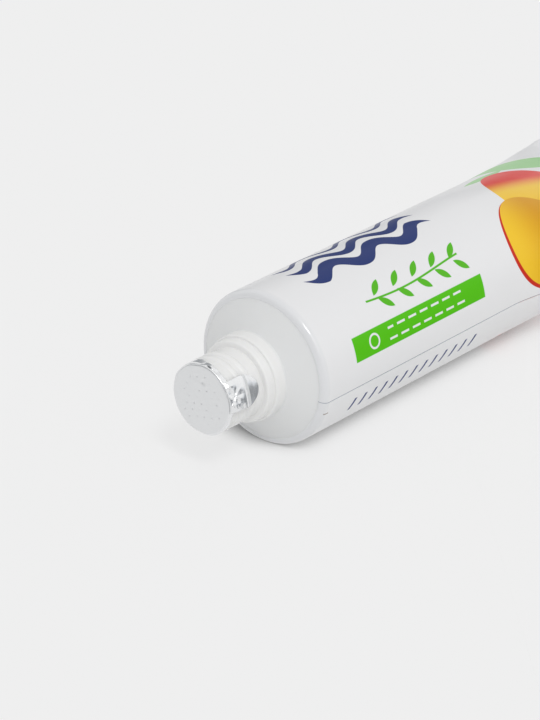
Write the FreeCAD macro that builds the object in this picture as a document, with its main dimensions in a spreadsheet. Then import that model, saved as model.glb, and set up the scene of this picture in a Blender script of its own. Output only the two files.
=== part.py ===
# A filled toothpaste tube lying on its side: nozzle to -X, crimped tail to +X, +Z up.
# Lengths are in millimetres and angles in degrees.
# Each piece is built about the tube's own axis, with x = 0 at the plane where the
# straight sleeve meets its rounded rim, and is then set down on the floor, z = 0.
# Angles round the tube count from straight up towards -Y.
import FreeCAD, Part
import math
import os
import re

import Sketcher
from FreeCAD import Placement, Rotation, Vector

NAMED_SIZES = {
    # sleeve
    "tube_radius": 16.0,
    "sleeve_length": 130.0,      # rim plane to the cut end of the tail
    "round_length": 60.0,        # stretch that stays round before it flattens
    "taper_power": 1.4,          # how early the flattening sets in
    "fin_length": 6.0,           # heat-sealed tail
    "fin_thick": 0.9,
    "fin_groove_pitch": 3.0,     # lines pressed across the seal
    "fin_groove_wide": 1.0,
    "fin_margin": 1.2,           # plain border round the grooves
    "fin_groove_deep": 0.15,
    "laminate": 0.35,
    "tail_roll": 9.0,            # turn of the flat tail about the axis
    "flat_spot_depth": 0.2,      # how far the soft body settles under its own weight
    "seam_start": 100.2,         # free edge of the overlapped side seam
    "seam_width": 3.0,
    "seam_step": 0.1,
    # moulded head
    "rim_round": 1.5,
    "cone_front": 4.54,
    "collar_one_radius": 8.92,
    "collar_one_front": 7.34,
    "collar_two_radius": 8.41,
    "collar_two_front": 9.35,
    "collar_bevel": 0.4,
    "neck_radius": 7.15,
    "neck_front": 19.1,
    "neck_wall": 2.2,
    "cone_wall": 1.4,            # measured along the axis
    "skirt_length": 2.5,         # part of the head inside the sleeve
    "skirt_wall": 1.9,
    # foil seal
    "foil_thick": 0.15,
    "foil_fold": 1.6,            # edge folded back along the neck
    "tab_lift": 0.4,             # the tab spans the crests of the thread
    "tab_reach": 8.2,            # tip of the tab behind the face of the foil
    "tab_angle": 58.0,
    "tab_middle": 72.0,
}
TAPER_STEPS = 16                 # straight stretches that make up the flattening
RIM_STEPS = 3                    # straight stretches that make up the rounded rim
LEAST_WIDENING = 1.000000001     # an oval is drawn a hair wider than high

doc = FreeCAD.newDocument("toothpaste_tube")
sheet = doc.addObject("Spreadsheet::Sheet", "Sizes")
for row, (alias, value) in enumerate(NAMED_SIZES.items(), start=1):
    sheet.set("A%d" % row, alias)
    sheet.set("B%d" % row, str(value))
    sheet.setAlias("B%d" % row, alias)
doc.recompute()


def size(expression):
    """Value of an expression in the aliases of the sheet."""
    return float(sheet.evalExpression(expression))


def sheet_names(expression):
    """The same expression as another object of the document has to write it."""
    def full_name(word):
        return "Sizes." + word[0] if word[0] in NAMED_SIZES else word[0]
    return re.sub("[a-z_]+", full_name, expression)


def origin_plane(body, role):
    return [feature for feature in body.Origin.OriginFeatures if feature.Role == role][0]


def new_sketch(body, name, plane="XY_Plane"):
    sketch = body.newObject("Sketcher::SketchObject", name)
    sketch.AttachmentSupport = [(origin_plane(body, plane), "")]
    sketch.MapMode = "FlatFace"
    return sketch


def hold_point(sketch, edge, end, across, up=None):
    """Hold one end or the centre of an edge at sheet expressions for x and radius."""
    for kind, expression in (("DistanceX", across), ("DistanceY", up)):
        if expression is None:
            continue
        index = sketch.addConstraint(
            Sketcher.Constraint(kind, -1, 1, edge, end, size(expression)))
        if expression != "0":
            sketch.setExpression("Constraints[%d]" % index, sheet_names(expression))


def closed_profile(sketch, corners, bends=None):
    """Closed outline through corners given as pairs of sheet expressions, x and radius.

    An edge named in bends by its number is a clockwise arc about the given centre.
    """
    bends = bends or {}
    points = [Vector(size(across), size(up), 0) for across, up in corners]
    count = len(corners)
    ends = []
    for i in range(count):
        first, last = points[i], points[(i + 1) % count]
        if i in bends:
            centre = Vector(size(bends[i][0]), size(bends[i][1]), 0)
            circle = Part.Circle(centre, Vector(0, 0, 1), centre.distanceToPoint(first))
            sketch.addGeometry(
                Part.ArcOfCircle(circle, turn_to(centre, last), turn_to(centre, first)), False)
            ends.append((2, 1))
        else:
            sketch.addGeometry(Part.LineSegment(first, last), False)
            ends.append((1, 2))
    for i in range(count):
        after = (i + 1) % count
        sketch.addConstraint(
            Sketcher.Constraint("Coincident", i, ends[i][1], after, ends[after][0]))
    for i, (across, up) in enumerate(corners):
        hold_point(sketch, i, ends[i][0], across, up)
    for i in bends:
        hold_point(sketch, i, 3, bends[i][0])


def turn_to(centre, point):
    return math.atan2(point.y - centre.y, point.x - centre.x)


def revolve(body, name, sketch, angle=None):
    """Turn a profile about the tube's axis, all round or evenly about its own plane."""
    feature = body.newObject("PartDesign::Revolution", name)
    feature.Profile = sketch
    feature.ReferenceAxis = (sketch, ["H_Axis"])
    if angle is None:
        feature.Angle = 360.0
    else:
        feature.Midplane = True
        feature.setExpression("Angle", sheet_names(angle))
    sketch.Visibility = False
    doc.recompute()
    return feature


def circle_edges(shape, wanted):
    """Names of the full circles about the axis at the given (x, radius) places."""
    names = []
    for number, edge in enumerate(shape.Edges, start=1):
        curve = edge.Curve
        if not isinstance(curve, Part.Circle):
            continue
        for x, radius in wanted:
            if abs(curve.Center.x - x) < 1e-4 and abs(curve.Radius - radius) < 1e-4:
                names.append("Edge%d" % number)
    return names


def bevel_edges(body, name, feature, edges, width):
    bevel = body.newObject("PartDesign::Chamfer", name)
    bevel.Base = (feature, edges)
    bevel.setExpression("Size", sheet_names(width))
    doc.recompute()
    return bevel


# shoulder and neck, one moulding

SHOULDER_EDGE = "(tube_radius - rim_round)"
CONE_SLOPE = "(cone_front - rim_round) / (%s - collar_one_radius)" % SHOULDER_EDGE
CORE_RADIUS = "(neck_radius - neck_wall)"
SKIRT_RADIUS = "(tube_radius - laminate)"
SKIRT_BORE = "(%s - skirt_wall)" % SKIRT_RADIUS


def inside_of_cone(radius):
    """Place along the axis where the inner face of the cone has the given radius."""
    return "cone_wall - cone_front + %s * (%s - collar_one_radius)" % (CONE_SLOPE, radius)


def moulded_head():
    body = doc.addObject("PartDesign::Body", "shoulder_and_neck")
    sketch = new_sketch(body, "head_profile")
    corners = [
        ("-neck_front", CORE_RADIUS),
        ("-neck_front", "neck_radius"),
        ("-collar_two_front", "neck_radius"),
        ("-collar_two_front", "collar_two_radius"),
        ("-collar_one_front", "collar_two_radius"),
        ("-collar_one_front", "collar_one_radius"),
        ("-cone_front", "collar_one_radius"),
        ("-rim_round", SHOULDER_EDGE),
        ("0", SHOULDER_EDGE),
        ("0", SKIRT_RADIUS),
        ("skirt_length", SKIRT_RADIUS),
        ("skirt_length", SKIRT_BORE),
        (inside_of_cone(SKIRT_BORE), SKIRT_BORE),
        (inside_of_cone(CORE_RADIUS), CORE_RADIUS),
    ]
    closed_profile(sketch, corners)
    head = revolve(body, "head_turned", sketch)
    fronts = circle_edges(head.Shape, [
        (-size("collar_one_front"), size("collar_one_radius")),
        (-size("collar_two_front"), size("collar_two_radius"))])
    bevel_edges(body, "collar_bevels", head, fronts, "collar_bevel")
    return body


# laminate sleeve with its filling, one sealed piece

def half_width(half_height):
    """Half the width of an oval of that half height whose girth is the round sleeve's."""
    radius = size("tube_radius")
    reach = 3 * radius + half_height
    both = (reach + math.sqrt(reach ** 2 - 6 * (radius ** 2 + half_height ** 2))) / 3
    return max(both - half_height, half_height * LEAST_WIDENING)


def half_height_at(x):
    """Half the height of the body; it falls from the round stretch to the seal."""
    radius = size("tube_radius")
    share = (x - size("round_length")) / size("sleeve_length - fin_length - round_length")
    share = min(max(share, 0.0), 1.0)
    return radius - (radius - size("laminate")) * share ** size("taper_power")


def sleeve_section(x):
    """Outline of the sleeve at x, with the step where the side seam overlaps."""
    roll = math.radians(size("tail_roll"))
    near = Vector(0, -math.cos(roll), -math.sin(roll))
    under = Vector(0, math.sin(roll), -math.cos(roll))
    tall = half_height_at(x)
    wide = half_width(tall)
    step = size("seam_step")
    centre = Vector(x, 0, 0)
    oval = Part.Ellipse(centre + near * wide, centre + under * tall, centre)
    outer = Part.Ellipse(
        centre + near * (wide + step), centre + under * (tall + step), centre)
    to_seam = math.radians(size("seam_start - 90 - tail_roll")) * size("tube_radius")
    seam = oval.parameterAtDistance(to_seam, 0.0)
    seam_end = oval.parameterAtDistance(to_seam + size("seam_width"), 0.0)
    halfway = (seam + seam_end) / 2
    middle = (outer.value(halfway) + oval.value(halfway)) / 2
    overlap = Part.Arc(outer.value(seam), middle, oval.value(seam_end))
    rest = Part.ArcOfEllipse(oval, seam_end, seam + 2 * math.pi)
    free_edge = Part.LineSegment(oval.value(seam), outer.value(seam))
    return Part.Wire([overlap.toShape(), rest.toShape(), free_edge.toShape()])


def round_body():
    length = size("round_length")
    return Part.Face(sleeve_section(0)).extrude(Vector(length, 0, 0))


def flattening_body():
    start = size("round_length")
    end = size("sleeve_length - fin_length")
    places = [start + (end - start) * i / TAPER_STEPS for i in range(TAPER_STEPS + 1)]
    solid, ruled = True, True
    return Part.makeLoft([sleeve_section(x) for x in places], solid, ruled)


def rim_and_inside():
    """The rounded rim, and the filling that reaches through the neck to the foil."""
    radius = size("tube_radius")
    bend = size("rim_round")
    mid_wall = size("neck_radius - neck_wall / 2")
    cone_mid = size("cone_wall / 2 - rim_round")
    turns = [math.pi / 2 * i / RIM_STEPS for i in range(RIM_STEPS + 1)]
    rim = [Vector(-bend * math.sin(turn), radius - bend * (1 - math.cos(turn)), 0)
           for turn in turns]
    corners = rim + [
        Vector(cone_mid, radius - bend, 0),
        Vector(size("cone_wall / 2 - cone_front"), size("collar_one_radius"), 0),
        Vector(size("-cone_front"), mid_wall, 0),
        Vector(size("-neck_front"), mid_wall, 0),
        Vector(size("-neck_front"), 0, 0),
        Vector(0, 0, 0),
        Vector(0, radius, 0),
    ]
    return Part.Face(Part.makePolygon(corners)).revolve(Vector(), Vector(1, 0, 0), 360)


def tail_fin():
    """Pressed seal at the tail, with grooves across both faces."""
    length = size("fin_length + 1")
    thick = size("fin_thick")
    width = 2 * half_width(size("laminate"))
    fin = Part.makeBox(length, width, thick, Vector(-length, -width / 2, -thick / 2))
    deep = size("fin_groove_deep")
    wide = size("fin_groove_wide")
    pitch = size("fin_groove_pitch")
    margin = size("fin_margin")
    count = int((width - 2 * margin) / pitch)
    grooves = []
    for i in range(count):
        y = (i - (count - 1) / 2) * pitch - wide / 2
        for z in (thick / 2 - deep, -thick / 2):
            grooves.append(Part.makeBox(
                size("fin_length") - 2 * margin, wide, deep,
                Vector(margin - size("fin_length"), y, z)))
    fin = fin.cut(Part.makeCompound(grooves))
    fin.rotate(Vector(), Vector(1, 0, 0), size("tail_roll"))
    fin.translate(Vector(size("sleeve_length"), 0, 0))
    return fin


def filled_sleeve(head):
    body = round_body().multiFuse([flattening_body(), rim_and_inside(), tail_fin()])
    body = body.removeSplitter()
    depth = size("tube_radius")
    floor = Part.makeBox(
        size("sleeve_length"), 4 * depth, depth,
        Vector(size("-2 * rim_round"), -2 * depth, size("flat_spot_depth") - 2 * depth))
    sleeve = doc.addObject("Part::Feature", "filled_sleeve")
    sleeve.Shape = body.cut(floor).cut(head.Shape)
    return sleeve


# foil seal with its pull tab, one piece

def foil():
    body = doc.addObject("PartDesign::Body", "foil_seal")
    sketch = new_sketch(body, "foil_profile")
    closed_profile(sketch, [
        ("-neck_front - foil_thick", "0"),
        ("-neck_front - foil_thick", "neck_radius + foil_thick"),
        ("foil_fold - neck_front", "neck_radius + foil_thick"),
        ("foil_fold - neck_front", "neck_radius"),
        ("-neck_front", "neck_radius"),
        ("-neck_front", "0"),
    ])
    cover = revolve(body, "foil_over_mouth", sketch)
    rim = circle_edges(cover.Shape, [
        (-size("neck_front + foil_thick"), size("neck_radius + foil_thick"))])
    bevel_edges(body, "foil_edge_bevel", cover, rim, "foil_thick")
    tab_sketch = new_sketch(body, "tab_profile")
    tip = "tab_reach - neck_front - foil_thick"
    closed_profile(tab_sketch, [
        ("foil_fold / 2 - neck_front", "neck_radius + foil_thick / 4"),
        ("foil_fold / 2 - neck_front", "neck_radius + foil_thick"),
        ("2 * foil_fold - neck_front", "neck_radius + tab_lift + foil_thick"),
        (tip, "neck_radius + tab_lift + foil_thick"),
        (tip, "neck_radius + tab_lift"),
        ("2 * foil_fold - neck_front", "neck_radius + tab_lift"),
    ])
    revolve(body, "tab_strip", tab_sketch, "tab_angle")
    half = "(neck_radius + tab_lift + foil_thick) * sin(tab_angle / 2)"
    bend_start = "%s - %s" % (tip, half)
    tip_sketch = new_sketch(body, "tab_tip_outline", "XZ_Plane")
    closed_profile(tip_sketch, [
        (bend_start, "1.5 * " + half),
        (bend_start, half),
        (bend_start, "-1 * " + half),
        (bend_start, "-1.5 * " + half),
        (tip + " + 1", "-1.5 * " + half),
        (tip + " + 1", "1.5 * " + half),
    ], {1: (bend_start, "0")})
    rounded = body.newObject("PartDesign::Pocket", "tab_tip_round")
    rounded.Profile = tip_sketch
    rounded.Type = "Length"
    rounded.setExpression("Length", "Sizes.tube_radius")
    return body


# place, check and write

def settle(piece, turn=0.0):
    """Set a piece down with the floor under the flat spot, middle of the length at x = 0."""
    ahead = size("neck_front + foil_thick")
    shift = Vector((ahead - size("sleeve_length")) / 2, 0, size("tube_radius - flat_spot_depth"))
    piece.Placement = Placement(shift, Rotation(Vector(1, 0, 0), turn))


head = moulded_head()
doc.recompute()
sleeve = filled_sleeve(head)
seal = foil()
settle(head)
settle(sleeve)
settle(seal, 90 + size("tab_middle"))
pieces = [sleeve, head, seal]
doc.recompute()

for thing in doc.Objects:
    if "Invalid" in thing.State or "Error" in thing.State:
        raise RuntimeError("%s: %s" % (thing.Name, thing.State))
for piece in pieces:
    if piece.Shape.isNull() or not piece.Shape.isValid():
        raise RuntimeError("%s has no valid shape" % piece.Name)

os.makedirs("parts", exist_ok=True)
for piece in pieces:
    piece.Label = piece.Name
    piece.Shape.exportStep("parts/%s.step" % piece.Label)
    box = piece.Shape.BoundBox
    print("%-18s %d solid  %.3f cm3  x %.2f %.2f  y %.2f %.2f  z %.2f %.2f" % (
        piece.Label, len(piece.Shape.Solids), piece.Shape.Volume / 1000,
        box.XMin, box.XMax, box.YMin, box.YMax, box.ZMin, box.ZMax))
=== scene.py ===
import math

import bpy
import numpy as np
from mathutils import Matrix, Vector


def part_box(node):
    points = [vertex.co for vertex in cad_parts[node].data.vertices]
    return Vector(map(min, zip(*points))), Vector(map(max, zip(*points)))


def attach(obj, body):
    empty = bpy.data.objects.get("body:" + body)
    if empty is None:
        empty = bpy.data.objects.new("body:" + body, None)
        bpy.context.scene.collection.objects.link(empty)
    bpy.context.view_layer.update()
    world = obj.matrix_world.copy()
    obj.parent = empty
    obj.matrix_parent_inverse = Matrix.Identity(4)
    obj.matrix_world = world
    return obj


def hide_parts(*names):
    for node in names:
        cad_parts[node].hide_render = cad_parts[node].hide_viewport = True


# A filled toothpaste tube on its side: glossy printed sleeve, moulded neck, crinkled foil seal.
# Sizes are in millimetres and turned into metres where a mesh is made. Distances along the
# tube count from the plane where the straight sleeve meets its rounded rim, positive towards
# the tail. Angles round the tube count from straight up towards -Y.

MM = 0.001
SEED = 7
SLEEVE_SHARP, HEAD_SHARP, FOIL_SHARP = 40.0, 50.0, 18.0   # least angles of edges shaded sharp

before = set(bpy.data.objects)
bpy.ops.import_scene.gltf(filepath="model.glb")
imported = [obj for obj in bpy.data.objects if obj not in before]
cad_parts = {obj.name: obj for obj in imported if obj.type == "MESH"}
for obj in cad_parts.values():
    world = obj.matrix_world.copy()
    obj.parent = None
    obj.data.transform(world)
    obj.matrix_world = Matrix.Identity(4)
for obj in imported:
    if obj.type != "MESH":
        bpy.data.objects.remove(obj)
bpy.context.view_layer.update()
bpy.context.scene.view_settings.view_transform = "Standard"

# Sizes that the solids also have

TUBE_RADIUS = 16.0
GIRTH = 2 * math.pi * TUBE_RADIUS
SLEEVE_LENGTH = 130.0
ROUND_LENGTH = 60.0
TAPER_POWER = 1.4
FIN_LENGTH = 6.0
FIN_THICK = 0.9
FIN_MARGIN = 1.2
GROOVE_PITCH = 3.0
GROOVE_WIDE = 1.0
GROOVE_DEEP = 0.15
LAMINATE = 0.35
FIN_START = SLEEVE_LENGTH - FIN_LENGTH
TAIL_ROLL = 9.0
SEAM_START = 100.2
SEAM_FROM_TOP = math.radians(SEAM_START) * TUBE_RADIUS
SEAM_WIDTH = 3.0
SEAM_STEP = 0.1
RIM_ROUND = 1.5
CONE_FRONT = 4.54
COLLAR_ONE = (8.92, 7.34)        # radius, front
COLLAR_TWO = (8.41, 9.35)
NECK_RADIUS = 7.15
NECK_FRONT = 19.1
NECK_WALL = 2.2
CONE_WALL = 1.4
SKIRT_LENGTH = 2.5
SKIRT_WALL = 1.9
FOIL_THICK = 0.15

# Where the tube lies, read from the frame

SLEEVE_BOX = [[value / MM for value in corner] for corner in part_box("filled_sleeve")]
RIM_X = SLEEVE_BOX[1][0] - SLEEVE_LENGTH
AXIS_Z = SLEEVE_BOX[1][2] - TUBE_RADIUS


def smooth(low, high, value):
    """0 below low, 1 above high, and a soft rise between them."""
    share = np.clip((value - low) / (high - low), 0.0, 1.0)
    return share * share * (3 - 2 * share)


def bump(value, middle, reach):
    """Soft hill of height 1 about the middle."""
    return np.exp(-((value - middle) / reach) ** 2)


def in_frame(x, across, up):
    """Points about the tube's axis, in millimetres, as points of the row frame in metres."""
    return np.stack([x + RIM_X, across, up + AXIS_Z], axis=-1) * MM


def round_points(x, radius, angle):
    """Points about the tube's axis, with the angle in radians."""
    x, radius, angle = np.broadcast_arrays(x, radius, angle)
    return in_frame(x, -radius * np.sin(angle), radius * np.cos(angle))


def mesh_object(name, points, faces, sharp_angle):
    """Smooth object with sharp edges from an angle on."""
    mesh = bpy.data.meshes.new(name)
    mesh.from_pydata(points.tolist(), [], faces)
    mesh.validate()
    mesh.shade_smooth()
    mesh.set_sharp_from_angle(angle=math.radians(sharp_angle))
    piece = bpy.data.objects.new(name, mesh)
    bpy.context.scene.collection.objects.link(piece)
    return piece


def grid_faces(rows, columns, closed, first=0):
    """Quads of a grid of points, written row by row; closed joins last column to first."""
    faces = []
    last = columns if closed else columns - 1
    for row in range(rows - 1):
        for column in range(last):
            after = (column + 1) % columns
            a = first + row * columns
            b = a + columns
            faces.append((a + column, a + after, b + after, b + column))
    return faces


# Sleeve

SLEEVE_COLUMNS = 420
SEAM_COLUMNS = 14                # of those, the ones over the overlap of the seam
RIM_ROWS, STRAIGHT_ROWS, TAPER_ROWS, FIN_ROWS = 12, 31, 65, 31
OVAL_SAMPLES = 2400
SIDE_STEP = 0.05                 # length to both sides that gives the direction of the outline
OVAL_CORNER, BAR_CORNER = 2, 10  # squareness of the section before the seal and in it
SQUARED = (-5.0, 0.3)            # stretch about the start of the seal where it turns square
SEAM_PRESSED = 0.7               # share of the seam's step that the seal presses flat
GROOVE_END_SOFT, GROOVE_SIDE_SOFT = 0.15, 0.12
LIP_DROP, LIP_BACK = 0.1, 0.05   # how far the cut end at the shoulder turns in


def half_width(half_height):
    """Half the width of an oval with the round sleeve's girth, by a close formula."""
    reach = 3 * TUBE_RADIUS + half_height
    both = (reach + math.sqrt(reach ** 2 - 6 * (TUBE_RADIUS ** 2 + half_height ** 2))) / 3
    return max(both - half_height, half_height)


def half_height_at(x):
    """Half the sleeve's height at a place along it, down to its two sheets at the seal."""
    share = (x - ROUND_LENGTH) / (FIN_START - ROUND_LENGTH)
    share = min(max(share, 0.0), 1.0)
    return TUBE_RADIUS - (TUBE_RADIUS - LAMINATE) * share ** TAPER_POWER


def section(wide, tall, corner, lengths):
    """Points and outward directions of an oval at given lengths round it.

    Lengths count from the near end of its width, the under side first. A corner of 2 makes
    an ellipse, and a larger one squares the oval towards a flat bar.
    """
    turn = np.linspace(0, 2 * math.pi, OVAL_SAMPLES)
    cosine, sine = np.cos(turn), np.sin(turn)
    near = wide * np.sign(cosine) * np.abs(cosine) ** (2 / corner)
    under = tall * np.sign(sine) * np.abs(sine) ** (2 / corner)
    run = np.concatenate([[0], np.cumsum(np.hypot(np.diff(near), np.diff(under)))])
    at = (lengths / GIRTH % 1.0) * run[-1]
    points = np.stack([np.interp(at, run, near), np.interp(at, run, under)], axis=-1)
    way = np.stack([np.interp(at + SIDE_STEP, run, part, period=run[-1])
                    - np.interp(at - SIDE_STEP, run, part, period=run[-1])
                    for part in (near, under)], axis=-1)
    outward = np.stack([way[:, 1], -way[:, 0]], axis=-1)
    outward /= np.maximum(np.linalg.norm(outward, axis=1, keepdims=True), 1e-9)
    return points, outward


def rolled(points):
    """Near and under coordinates of the tail as across and up about the tube's axis."""
    roll = math.radians(TAIL_ROLL)
    near, under = points[:, 0], points[:, 1]
    across = -near * math.cos(roll) + under * math.sin(roll)
    up = -near * math.sin(roll) - under * math.cos(roll)
    return across, up


def column_lengths():
    """Lengths round the sleeve from the free edge of its seam, close together near it."""
    ramp = np.linspace(0, SEAM_WIDTH, SEAM_COLUMNS)
    rest = np.linspace(SEAM_WIDTH, GIRTH, SLEEVE_COLUMNS - SEAM_COLUMNS + 1)[1:]
    return np.concatenate([ramp, rest])


# Soft hollows that a filled sleeve gets where it flattens: place along the tube, length
# round it from the top, depth, reach along and reach round
HOLLOWS = (
    (86.0, 21.0, 0.30, 13.0, 5.0),
    (101.0, 14.0, 0.22, 7.0, 4.5),
    (92.0, -27.5, 0.34, 11.0, 5.5),
    (106.0, -18.0, 0.24, 7.5, 5.0),
    (95.0, -40.0, 0.28, 10.0, 6.0),
    (88.0, -62.0, 0.30, 12.0, 5.0),
    (108.0, -52.0, 0.20, 6.0, 6.0),
)


def sleeve_rows():
    """Places along the sleeve for its rows, and the turn of the rim that each belongs to."""
    rim = [(-RIM_ROUND * math.sin(turn), turn)
           for turn in np.linspace(math.pi / 2, 0, RIM_ROWS)]
    stretches = ((0, ROUND_LENGTH, STRAIGHT_ROWS), (ROUND_LENGTH, FIN_START, TAPER_ROWS),
                 (FIN_START, SLEEVE_LENGTH, FIN_ROWS))
    places = np.concatenate([np.linspace(*stretch)[1:] for stretch in stretches])
    return rim + [(x, 0.0) for x in places]


def groove_depth(x, near):
    """Depth of the pressed lines of the seal at places along and across it."""
    count = int((2 * half_width(LAMINATE) - 2 * FIN_MARGIN) / GROOVE_PITCH)
    offset = near / GROOVE_PITCH + (count - 1) / 2
    from_line = np.abs(offset - np.round(offset)) * GROOVE_PITCH
    within = (offset > -0.5) & (offset < count - 0.5)
    start, end = FIN_START + FIN_MARGIN, SLEEVE_LENGTH - FIN_MARGIN
    along = smooth(start - GROOVE_END_SOFT, start + GROOVE_END_SOFT, x)
    along *= 1 - smooth(end - GROOVE_END_SOFT, end + GROOVE_END_SOFT, x)
    half = GROOVE_WIDE / 2
    beside = smooth(half - GROOVE_SIDE_SOFT, half + GROOVE_SIDE_SOFT, from_line)
    return GROOVE_DEEP * within * along * (1 - beside)


def sleeve_piece():
    """Laminate sleeve with its rounded rim, overlapped side seam and pressed tail."""
    lengths = column_lengths()
    to_seam = math.radians(SEAM_START - 90 - TAIL_ROLL) * TUBE_RADIUS
    from_top = lengths + SEAM_FROM_TOP - GIRTH
    ramp = SEAM_STEP * (1 - smooth(0.0, SEAM_WIDTH, lengths))
    rows = []
    places = []
    for x, turn in sleeve_rows():
        squared = float(smooth(FIN_START + SQUARED[0], FIN_START + SQUARED[1], x))
        tall = half_height_at(x)
        wide = half_width(tall)
        tall = tall * (1 - squared) + FIN_THICK / 2 * squared
        turned_in = RIM_ROUND * (1 - math.cos(turn))
        corner = OVAL_CORNER + (BAR_CORNER - OVAL_CORNER) * squared
        points, outward = section(wide - turned_in, tall - turned_in, corner, lengths + to_seam)
        lift = ramp * (1 - SEAM_PRESSED * squared)
        for place, top, depth, along, around in HOLLOWS:
            lift = lift - depth * bump(x, place, along) * bump(from_top, top, around)
        if x > FIN_START:
            lift = lift - groove_depth(x, points[:, 0])
        across, up = rolled(points + outward * lift[:, None])
        up = np.maximum(up, -AXIS_Z)
        rows.append(in_frame(np.full_like(across, x), across, up))
        places.append(np.stack([from_top, np.full_like(from_top, x)], axis=-1))
    rows = [lip_end(rows[0]), *rows, closing_row(rows[-1])]
    places = [places[0], *places, places[-1]]
    faces = grid_faces(len(rows), len(lengths), closed=True)
    piece = mesh_object("printed_sleeve", np.concatenate(rows), faces, SLEEVE_SHARP)
    add_print_places(piece, np.concatenate(places))
    return piece


def lip_end(front):
    """Row that turns the cut end of the sleeve down onto the moulded shoulder."""
    centre = np.array([0, 0, AXIS_Z * MM])
    inward = front.copy()
    inward[:, 1:] = centre[1:] + (front[:, 1:] - centre[1:]) * (1 - LIP_DROP / TUBE_RADIUS)
    inward[:, 0] += LIP_BACK * MM
    return inward


def closing_row(back):
    """Row that closes the cut end of the tail on its middle plane."""
    roll = math.radians(TAIL_ROLL)
    near_way = np.array([0, -math.cos(roll), -math.sin(roll)])
    centre = np.array([back[0, 0], 0, AXIS_Z * MM])
    return centre + ((back - centre) @ near_way)[:, None] * near_way


PRINT_SPAN = (110.0, 140.0)      # length round and along the tube that the print map covers
PRINT_FROM = (-76.0, -4.0)


def add_print_places(piece, places):
    """Map that gives the print its place: length round from the top, length along."""
    layer = piece.data.uv_layers.new(name="print")
    scaled = (places - np.array(PRINT_FROM)) / np.array(PRINT_SPAN)
    corners = np.empty(len(piece.data.loops), dtype=np.int64)
    piece.data.loops.foreach_get("vertex_index", corners)
    layer.data.foreach_set("uv", scaled[corners].ravel())


# Shoulder and neck

HEAD_COLUMNS = 300
FINE_ROW, COARSE_ROW = 0.16, 0.9   # between rows on the neck's side and elsewhere
STRAIGHT_ENOUGH = 0.01           # sine of the least turn that counts as a corner
ON_NECK = 0.05                   # depth under the neck's radius that still belongs to its side
THREAD_PITCH = 2.3
THREAD_HIGH = 0.26
THREAD_CREST, THREAD_FOOT = 0.15, 0.75   # half the ridge's width at its top and its foot
THREAD_FROM, THREAD_TO = 16.7, 10.7      # from the mouth's side to the collar's
THREAD_FADE = (0.5, 0.6)         # stretches beyond these over which it fades out
THREAD_PHASE = 0.31
# Advance along the axis over which the ridge rises at its start and sinks at its end
THREAD_RISES, THREAD_SINKS = (0.0, 0.9), (5.0, 6.0)


def softened(corners, steps=5):
    """Outline through corners (x, radius, rounding) with each corner rounded off."""
    outline = []
    count = len(corners)
    for i in range(count):
        here = np.array(corners[i][:2])
        rounding = corners[i][2]
        before = np.array(corners[i - 1][:2]) - here
        after = np.array(corners[(i + 1) % count][:2]) - here
        if rounding == 0:
            outline.append(here)
            continue
        before = before / np.linalg.norm(before)
        after = after / np.linalg.norm(after)
        half = math.acos(float(np.clip(before @ after, -1, 1))) / 2
        cut = rounding / math.tan(half)
        for share in np.linspace(0, 1, steps):
            outline.append(here + before * cut * (1 - share) ** 2 + after * cut * share ** 2)
    return np.array(outline)


def divided(outline, longest):
    """Outline with its long stretches cut up, so that relief can follow it."""
    points = []
    for i in range(len(outline)):
        first, last = outline[i], outline[(i + 1) % len(outline)]
        count = max(1, math.ceil(np.linalg.norm(last - first) / longest))
        points += [first + (last - first) * k / count for k in range(count)]
    return np.array(points)


def thread_height(front, angle):
    """Height of the thread's ridge at a distance ahead of the rim plane and an angle."""
    turned = angle / (2 * math.pi)
    turns = (THREAD_FROM - front) / THREAD_PITCH - turned + THREAD_PHASE
    from_ridge = np.abs(turns - np.round(turns)) * THREAD_PITCH
    ridge = 1 - smooth(THREAD_CREST, THREAD_FOOT, from_ridge)
    run = (np.round(turns) + turned) * THREAD_PITCH
    ends = smooth(*THREAD_RISES, run) * (1 - smooth(*THREAD_SINKS, run))
    within = smooth(THREAD_TO - THREAD_FADE[1], THREAD_TO, front) * (
        1 - smooth(THREAD_FROM, THREAD_FROM + THREAD_FADE[0], front))
    return THREAD_HIGH * ridge * ends * within


def head_outline():
    """Corners of the moulded head (x, radius, rounding): outside back, inside forward."""
    edge = TUBE_RADIUS - RIM_ROUND
    slope = (CONE_FRONT - RIM_ROUND) / (edge - COLLAR_ONE[0])
    core = NECK_RADIUS - NECK_WALL
    skirt = TUBE_RADIUS - LAMINATE
    bore = skirt - SKIRT_WALL
    inside = CONE_WALL - CONE_FRONT
    return [
        (-NECK_FRONT, core, 0.1),
        (-NECK_FRONT, NECK_RADIUS, 0.3),
        (-COLLAR_TWO[1], NECK_RADIUS, 0.25),
        (-COLLAR_TWO[1], COLLAR_TWO[0], 0.5),
        (-COLLAR_ONE[1], COLLAR_TWO[0], 0.15),
        (-COLLAR_ONE[1], COLLAR_ONE[0], 0.42),
        (-CONE_FRONT, COLLAR_ONE[0], 0.4),
        (-RIM_ROUND, edge, 0.0),
        (0.0, edge, 0.0),
        (0.0, skirt, 0.0),
        (SKIRT_LENGTH, skirt, 0.0),
        (SKIRT_LENGTH, bore, 0.0),
        (inside + slope * (bore - COLLAR_ONE[0]), bore, 0.0),
        (inside + slope * (core - COLLAR_ONE[0]), core, 0.0),
    ]


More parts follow.
